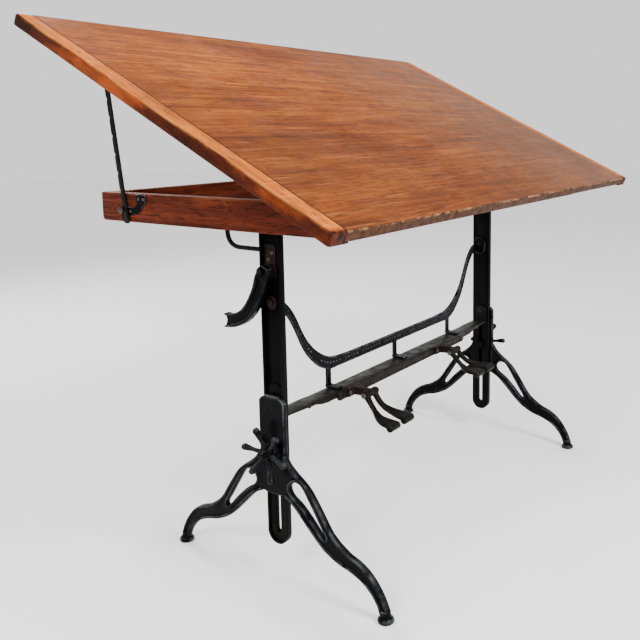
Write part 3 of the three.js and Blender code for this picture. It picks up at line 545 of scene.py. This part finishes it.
BOARD_FRONT, BOARD_REAR = -0.1025, 0.8115  # in the board's axes, from the hinge line
BOARD_TOP, PANEL_LOW, PANEL_HALF = 0.0231, 0.0031, 0.7237
CLEAT_OUTER, CLEAT_WIDTH, CLEAT_LIP = 0.762, 0.038, 0.014
CLEAT_LOW, CLEAT_STEP = -0.0023, 0.0028


def board_panel():
    """The panel, its front edge rubbed round and chipped along its length."""
    rings = []
    stations = 420
    for i in range(stations + 1):
        x = -PANEL_HALF + 2 * PANEL_HALF * i / stations
        chip = max(0.0, wobble(x * 31.0, 4.0) - 0.18) * 0.009
        front = BOARD_FRONT + max(0.0, wobble(x * 12.0, 9.0)) * 0.0015
        corners = [(front, PANEL_LOW), (BOARD_REAR, PANEL_LOW), (BOARD_REAR, BOARD_TOP), (front, BOARD_TOP)]
        radii = [0.002 + chip * 0.4, 0.002, 0.0025, 0.0028 + chip]
        rings.append([BOARD @ Vector((x, p.x, p.y)) for p in rounded(corners, radii)])
    finish(lofted("board_panel_fine", rings), "board", "board_wood", "board_wood", "board_panel")


def cleat(side, sign):
    """A cleat, its outer top corner rubbed unevenly and its ends rounded over."""
    inner = CLEAT_OUTER - CLEAT_WIDTH
    rings = []
    stations = 200
    for i in range(stations + 1):
        t = i / stations
        u = BOARD_FRONT + (BOARD_REAR - BOARD_FRONT) * t
        end = min(t, 1 - t) * (BOARD_REAR - BOARD_FRONT)
        tuck = 0.0016 * max(0.0, 1 - end / 0.003)
        rub = 0.0034 + 0.0012 * max(0.0, wobble(u * 47.0, 3.0 + sign)) + tuck
        corners = [
            (CLEAT_OUTER - tuck, CLEAT_LOW + tuck), (inner - CLEAT_LIP + tuck, CLEAT_LOW + tuck),
            (inner - CLEAT_LIP + tuck, CLEAT_STEP), (inner, CLEAT_STEP),
            (inner, BOARD_TOP - tuck), (CLEAT_OUTER - tuck, BOARD_TOP - tuck),
        ]
        radii = [0.0025, 0.0015, 0.0008, 0.0004, 0.001, rub]
        rings.append([BOARD @ Vector((sign * p.x, u, p.y)) for p in rounded(corners, radii)])
    node = "cleat_" + side
    finish(lofted(node + "_fine", rings), "board", "cleat_wood", "cleat_wood", node)


# ---------------------------------------------------------------- brace ornament and screws

BRACE_FACE = 0.012 + SHIFT
BRACE_LINE = [
    (-0.462, 0.610, 0.0105), (-0.445, 0.601, 0.010), (-0.429, 0.585, 0.0095), (-0.413, 0.563, 0.0087),
    (-0.395, 0.531, 0.0087), (-0.381, 0.507, 0.010), (-0.363, 0.483, 0.012), (-0.341, 0.462, 0.0135),
    (-0.316, 0.444, 0.0155), (-0.286, 0.432, 0.0155), (-0.250, 0.4295, 0.0135), (-0.196, 0.4285, 0.0125),
    (0.0, 0.4285, 0.0125),
]


def spline(points, t):
    """A point of a smooth line through the points, t from 0 to 1."""
    last = len(points) - 1
    i = min(int(t * last), last - 1)
    f = t * last - i
    p = [Vector(points[min(max(k, 0), last)]) for k in range(i - 1, i + 3)]
    a, b = p[2] - p[0], p[3] - p[1]
    return (2 * f**3 - 3 * f**2 + 1) * p[1] + (f**3 - 2 * f**2 + f) * a * 0.5 \
        + (3 * f**2 - 2 * f**3) * p[2] + (f**3 - f**2) * b * 0.5


def line_points(count):
    """Places along the brace's middle line, evenly spaced, each with its direction and half width."""
    fine = [spline(BRACE_LINE, k / 600) for k in range(601)]
    lengths = [0.0]
    for a, b in zip(fine, fine[1:]):
        lengths.append(lengths[-1] + (b.xy - a.xy).length)
    found = []
    k = 0
    for i in range(count + 1):
        goal = lengths[-1] * i / count
        while k < len(lengths) - 2 and lengths[k + 1] < goal:
            k += 1
        direction = (fine[k + 1].xy - fine[k].xy).normalized()
        found.append((fine[k].xy, direction, fine[k].z))
    return found


def tube(name, places, radius, sides=8, aside=(0, 1, 0)):
    """A round bead along a line of places."""
    rings = []
    count = len(places)
    for i, place in enumerate(places):
        ahead = places[min(i + 1, count - 1)] - places[max(i - 1, 0)]
        direction = ahead.normalized()
        across = direction.cross(Vector(aside)).normalized()
        up = across.cross(direction)
        rings.append([place + a * across + b * up for a, b in circle(radius, sides)])
    return lofted(name, rings)


def joined(name, objects):
    bm = bmesh.new()
    for obj in objects:
        obj.data.transform(obj.matrix_world)
        bm.from_mesh(obj.data)
        bpy.data.objects.remove(obj)
    mesh = bpy.data.meshes.new(name)
    bm.to_mesh(mesh)
    bm.free()
    for polygon in mesh.polygons:
        polygon.use_smooth = True
    return linked(name, mesh)


def dome(radius, height, rings=4, sides=14, slot=0.0):
    """A domed head on the plane Z = 0, with an optional driver slot along X."""
    vertices, faces = [], []
    levels = [(radius, -0.4 * height)]
    for r in range(rings + 1):
        angle = math.pi / 2 * r / (rings + 0.6)
        levels.append((radius * math.cos(angle), height * math.sin(angle)))
    for r, z in levels:
        vertices += [(x, y, z) for x, y in circle(r, sides)]
    for i in range(len(levels) - 1):
        for k in range(sides):
            a, b = i * sides + k, i * sides + (k + 1) % sides
            faces.append((a, b, b + sides, a + sides))
    faces.append(tuple(range(sides - 1, -1, -1)))
    faces.append(tuple(range((len(levels) - 1) * sides, len(levels) * sides)))
    mesh = bpy.data.meshes.new("head")
    mesh.from_pydata(vertices, [], faces)
    obj = linked("head", mesh)
    if slot:
        bar = bpy.data.meshes.new("slot")
        bm = bmesh.new()
        size = Matrix.Diagonal((2.4 * radius, slot, height, 1.0))
        bmesh.ops.create_cube(bm, size=1.0, matrix=Matrix.Translation((0, 0, height)) @ size)
        bm.to_mesh(bar)
        bm.free()
        tool = linked("slot", bar)
        boolean = obj.modifiers.new("slot", "BOOLEAN")
        boolean.object = tool
        boolean.operation = "DIFFERENCE"
        boolean.solver = "EXACT"
        settle(obj)
        bpy.data.objects.remove(tool)
        smoothed(obj.data, 40.0)
    return obj


def screw(place, normal, radius=0.004, turn=0.6):
    obj = dome(radius, 0.42 * radius, 3, 18, 0.32 * radius)
    direction = Vector(normal).normalized().to_track_quat("Z", "Y").to_matrix().to_4x4()
    obj.matrix_world = Matrix.Translation(place) @ direction @ Matrix.Rotation(turn, 4, "Z")
    bpy.context.view_layer.update()
    return obj


def brace_ornament():
    """A plain bead along both edges of the brace's face, and a row of round studs between them."""
    parts = []
    places = line_points(150)
    for edge in (-1, 1):
        for sign in (-1, 1):
            line = []
            for place, direction, half in places:
                side = Vector((-direction.y, direction.x)) * edge * (half - 0.0022)
                line.append(Vector((sign * (place.x + side.x), BRACE_FACE - 0.0002, place.y + side.y)))
            parts.append(tube("bead", line, 0.0016, 6))
    for i, (place, direction, half) in enumerate(line_points(44)):
        for sign in (-1, 1) if i < 44 else (1,):
            stud = dome(0.0032, 0.0016, 3, 12)
            turn = Matrix.Rotation(math.pi / 2, 4, "X")
            stud.matrix_world = Matrix.Translation((sign * place.x, BRACE_FACE + 0.0002, place.y)) @ turn
            bpy.context.view_layer.update()
            parts.append(stud)
    finish(joined("brace_bead", parts), "carriage", "black_iron", "black_iron")


def rail_ornament():
    """A plain raised border on the front of the rail's web."""
    low, high, half, front = 0.3545, 0.3690, 0.290, -0.031 + SHIFT
    border = []
    for z in (low, high):
        border.append(tube("bead", [Vector((-half, front, z)), Vector((half, front, z))], 0.0012, 8))
    for x in (-half, half):
        border.append(tube("bead", [Vector((x, front, low)), Vector((x, front, high))], 0.0012, 8))
    finish(joined("rail_border", border), "carriage", "bar_iron", "bar_iron")


LEVER_BRACKET_FACE = -0.4979
PEDAL_BRACKET_FACE = -0.0373 + SHIFT
CATCH_PLATE_FACE = 0.5783


def screws():
    """Slotted heads on the lever bracket, pedal brackets, catch plates, bearers and prop brackets."""
    carriage, board = [], []
    for y, z, turn in ((-0.004, 0.731, 0.5), (0.006, 0.715, 1.2)):
        carriage.append(screw((LEVER_BRACKET_FACE, y + SHIFT, z), (-1, 0, 0), 0.0045, turn))
    for middle in (-0.252, 0.163):
        for k, x in enumerate((middle - 0.019, middle + 0.019)):
            carriage.append(screw((x, PEDAL_BRACKET_FACE, 0.3625), (0, -1, 0), 0.0045, 0.4 + k))
    for _, sign in SIDES:
        for k, (y, z) in enumerate(((0.302, 0.838), (0.318, 0.838), (0.347, 0.809))):
            place = (sign * CATCH_PLATE_FACE, y + SHIFT, z)
            carriage.append(screw(place, (sign, 0, 0), 0.0036, 0.3 + 1.1 * k))
        for k, y in enumerate((-0.041, 0.041)):
            carriage.append(screw((sign * 0.4745, y + SHIFT, 0.7783), (0, 0, -1), 0.005, 0.7 * k))
        for k, u in enumerate((0.742, 0.778)):
            place = BOARD @ Vector((sign * 0.560, u, -0.0002))
            normal = BOARD.to_3x3() @ Vector((0, 0, -1))
            board.append(screw(place, normal, 0.004, 0.9 * k))
    finish(joined("screws_carriage", carriage), "carriage", "dull_steel", "dull_steel")
    finish(joined("screws_board", board), "board", "dull_steel", "dull_steel")


# ---------------------------------------------------------------- leg castings

# Points (distance from the middle plane, height) along one leg's edges and round its window.
LEG_PLANE = 0.508
LEG_OUTER = [
    (0.0378, 0.292), (0.047, 0.276), (0.066, 0.259), (0.086, 0.245), (0.107, 0.226), (0.133, 0.190),
    (0.163, 0.147), (0.200, 0.120), (0.232, 0.107), (0.259, 0.089), (0.281, 0.063), (0.296, 0.036),
    (0.3035, 0.012),
]
LEG_UNDER = [
    (0.033, 0.1965), (0.057, 0.183), (0.097, 0.144), (0.119, 0.123), (0.143, 0.104), (0.177, 0.088),
    (0.207, 0.080), (0.236, 0.068), (0.258, 0.050), (0.272, 0.031), (0.2795, 0.012),
]
LEG_WINDOW = [
    (0.0485, 0.222), (0.056, 0.234), (0.070, 0.2385), (0.085, 0.229), (0.109, 0.193), (0.130, 0.160),
    (0.1425, 0.141), (0.1425, 0.1325), (0.132, 0.139), (0.111, 0.162), (0.080, 0.191), (0.056, 0.2065),
]
RIM_DEPTH = 0.0079
RIM_WIDTH = 0.0042
WEB_DEPTH = 0.0035
FOOT_OUT = 0.292
FOOT = [
    (0.0165, 0.0), (0.0175, 0.0015), (0.0175, 0.0055), (0.0155, 0.0085), (0.0118, 0.0115),
    (0.0108, 0.016), (0.0104, 0.024),
]
COLUMN_HALF, COLUMN_TOP, COLUMN_LOW = 0.035, 0.419, 0.197
CLAMP_Z = 0.294


def looped(points, each):
    """Points of a smooth closed line through the given ones."""
    found = []
    count = len(points)
    for i in range(count):
        p = [Vector(points[(i + k) % count]) for k in (-1, 0, 1, 2)]
        for step in range(each):
            f = step / each
            a, b = (p[2] - p[0]) * 0.5, (p[3] - p[1]) * 0.5
            found.append((2 * f**3 - 3 * f**2 + 1) * p[1] + (f**3 - 2 * f**2 + f) * a
                         + (3 * f**2 - 2 * f**3) * p[2] + (f**3 - f**2) * b)
    return found


def plate(loops, low, high):
    """A plate from x = low to x = high: the first loop of (y, z) points is its outline, the rest holes."""
    curve = bpy.data.curves.new("plate", "CURVE")
    curve.dimensions = "2D"
    curve.fill_mode = "BOTH"
    curve.extrude = (high - low) / 2
    for loop in loops:
        line = curve.splines.new("POLY")
        line.points.add(len(loop) - 1)
        for point, (a, b) in zip(line.points, loop):
            point.co = (a, b, 0.0, 1.0)
        line.use_cyclic_u = True
    drawn = linked("plate", curve)
    bpy.context.view_layer.update()
    depsgraph = bpy.context.evaluated_depsgraph_get()
    mesh = bpy.data.meshes.new_from_object(drawn.evaluated_get(depsgraph), depsgraph=depsgraph)
    bpy.data.objects.remove(drawn)
    middle = (low + high) / 2
    mesh.transform(Matrix(((0, 0, 1, middle), (1, 0, 0, 0), (0, 1, 0, 0), (0, 0, 0, 1))))
    outward(mesh, 1e-6)
    return linked("plate", mesh)


def rim(line, side, closed=False):
    """A rounded rib along the edge of a leg, on the given side of the line."""
    rings = []
    count = len(line)
    for i, place in enumerate(line):
        before = line[i - 1] if closed or i else place
        after = line[(i + 1) % count] if closed or i < count - 1 else place
        direction = (after - before).normalized()
        inward = Vector((-direction.y, direction.x)) * side
        ring = []
        for k in range(12):
            angle = 2 * math.pi * k / 12
            c, t = math.cos(angle), math.sin(angle)
            c, t = math.copysign(abs(c) ** 0.75, c), math.copysign(abs(t) ** 0.75, t)
            q = place + inward * RIM_WIDTH * (1 + c)
            ring.append(Vector((-LEG_PLANE + RIM_DEPTH * t, q.x, q.y)))
        rings.append(ring)
    return lofted("rim", rings, closed)


def turned(profile, place, sides=28):
    """A turned body from (radius, height) points, upright at the place."""
    rings = []
    for radius, height in profile:
        rings.append([Vector(place) + Vector((x, y, height)) for x, y in circle(radius, sides)])
    return lofted("turned", rings)


def disc(radius, low, high, middle_z, sides=32):
    """A round plate from x = low to x = high, in the middle plane."""
    outline = circle(radius, sides)
    return lofted("disc", [[Vector((x, a, middle_z + b)) for a, b in outline] for x in (low, high)])


def leg_parts():
    """The web, the rims and the foot of the rear leg, in the left casting's plane."""
    outer = [spline(LEG_OUTER, k / 70) for k in range(71)]
    under = [spline(LEG_UNDER, k / 60) for k in range(61)]
    window = looped(LEG_WINDOW, 5)
    outline = [Vector((0.0295, 0.292))] + outer + list(reversed(under)) + [Vector((0.0295, 0.1985))]
    parts = [plate([outline, window], -LEG_PLANE - WEB_DEPTH, -LEG_PLANE + WEB_DEPTH)]
    parts += [rim(outer, -1), rim(under, 1), rim(window, 1, True)]
    parts.append(turned(FOOT, (-LEG_PLANE, FOOT_OUT, 0.0)))
    return parts


def column_parts():
    """The plate and the two walls that hold an upright, and the boss round the clamp bolt."""
    half, top = COLUMN_HALF, COLUMN_TOP
    upper = [(half, 0.290), (half, top - 0.013), (half - 0.006, top - 0.006), (half - 0.017, top)]
    upper = upper + [(-y, z) for y, z in reversed(upper)]
    lower = [(-0.039, 0.284), (-0.043, 0.244), (-0.041, 0.213), (-0.034, 0.2), (-0.02, COLUMN_LOW)]
    outline = upper + lower + [(-y, z) for y, z in reversed(lower)]
    parts = [plate([outline], -0.512, -0.5028)]
    for y in (-1, 1):
        wall = [(y * 0.0290, 0.205), (y * half, 0.205), (y * half, top - 0.014), (y * 0.0290, top - 0.008)]
        parts.append(plate([wall], -0.504, -0.4997))
    parts.append(disc(0.0195, -0.5135, -0.510, CLAMP_Z))
    return parts


def leg_casting(side, sign):
    """Two legs and the column between them, under one skin."""
    parts = leg_parts()
    for part in leg_parts():
        part.data.transform(Matrix.Diagonal((1, -1, 1, 1)))
        parts.append(part)
    obj = joined("leg_casting_" + side + "_fine", parts + column_parts())
    obj.data.transform(Matrix.Translation((0, SHIFT, 0)) @ Matrix.Diagonal((-sign, 1, 1, 1)))
    outward(obj.data)
    skinned(obj, 0.0013, 3, 0.4)
    finish(obj, "base", "black_iron", "black_iron", "leg_casting_" + side)


# ---------------------------------------------------------------- pedals and hand lever

PEDAL_AXIS_Y = -0.080 + SHIFT
PAD_SWELL = 0.0019


def pedal(side, number):
    """A pedal, heavier towards its pad."""
    obj = cast(f"pedal_{side}_{number}", 0.001, 5)
    normals = [v.normal.copy() for v in obj.data.vertices]
    for vertex, normal in zip(obj.data.vertices, normals):
        reach = min(max((PEDAL_AXIS_Y - vertex.co.y - 0.04) / 0.05, 0.0), 1.0)
        vertex.co += normal * PAD_SWELL * reach


LEVER_PLANE = 0.519
LEVER_OUT = 0.0092  # from the lever's middle plane to the top of its lips
LEVER_LINE = [
    (0.005, 0.677, 0.016), (0.014, 0.650, 0.016), (0.029, 0.624, 0.015), (0.051, 0.597, 0.0145),
    (0.076, 0.582, 0.0145), (0.096, 0.5765, 0.0148),
]


def hand_lever():
    """The lever with a rounded lip along both edges of its trough, the front one the heavier."""
    parts = [copied("hand_lever")]
    parts[0].data.transform(Matrix.Translation((0, -SHIFT, 0)))
    fine = [spline(LEVER_LINE, k / 60) for k in range(61)]
    for edge, radius in ((1, 0.0028), (-1, 0.0046)):
        line = []
        for k, place in enumerate(fine):
            direction = (fine[min(k + 1, 60)].xy - fine[max(k - 1, 0)].xy).normalized()
            side = Vector((-direction.y, direction.x)) * edge * (place.z - radius + 0.0006)
            line.append(Vector((-LEVER_PLANE - LEVER_OUT + radius, place.x + side.x, place.y + side.y)))
        parts.append(tube("lip", line, radius, 12, (1, 0, 0)))
    obj = joined("hand_lever_fine", parts)
    obj.data.transform(Matrix.Translation((0, SHIFT, 0)))
    skinned(obj, 0.001, 4, 0.45)
    finish(obj, "hand_lever", SLOT["hand_lever"], "black_iron", "hand_lever")


# ---------------------------------------------------------------- the whole table

camera()
studio()
board_panel()
for side, sign in SIDES:
    cleat(side, sign)
    leg_casting(side, sign)
    cast("handwheel_" + side, 0.0009, 5)
    cast("stay_rod_" + side, 0.0011, 8)
    worked("upright_" + side, 0.0009, 2, "plain_iron")
    worked("upright_head_" + side, 0.0012, 2, "plain_iron")
    worked("side_board_" + side, 0.0016, 3)
    worked("bearer_" + side, 0.0015)
    worked("prop_bar_" + side, 0.0005)
    cast("catch_plate_" + side, 0.0008, 3)
    cast("pedal_bracket_" + side, 0.001, 3)
    worked("prop_bracket_" + side, 0.0005)
    worked("brace_bolt_" + side, 0.0007)
    worked("rail_bolt_" + side, 0.0007)
    worked("clamp_bolt_" + side, 0.0007, 2, "plain_iron")
    worked("catch_stud_" + side, 0.0005)
    worked("prop_pin_" + side, 0.0005)
    worked("pedal_pin_" + side, 0.0005)
    worked("hinge_pin_" + side, 0.0002, 1)
    worked("hinge_frame_leaf_" + side, 0.0002, 1)
    worked("hinge_board_leaf_" + side, 0.0002, 1)
    for number in ("1", "2"):
        pedal(side, number)
for name in ("front_rail", "rear_rail"):
    worked(name, 0.0016, 3, "rail_wood")
cast("brace", 0.0012, 3)
worked("cross_rail", 0.001)
hand_lever()
worked("lever_bracket", 0.001)
worked("lever_nut", 0.0006, 2, "plain_iron")
brace_ornament()
rail_ornament()
screws()
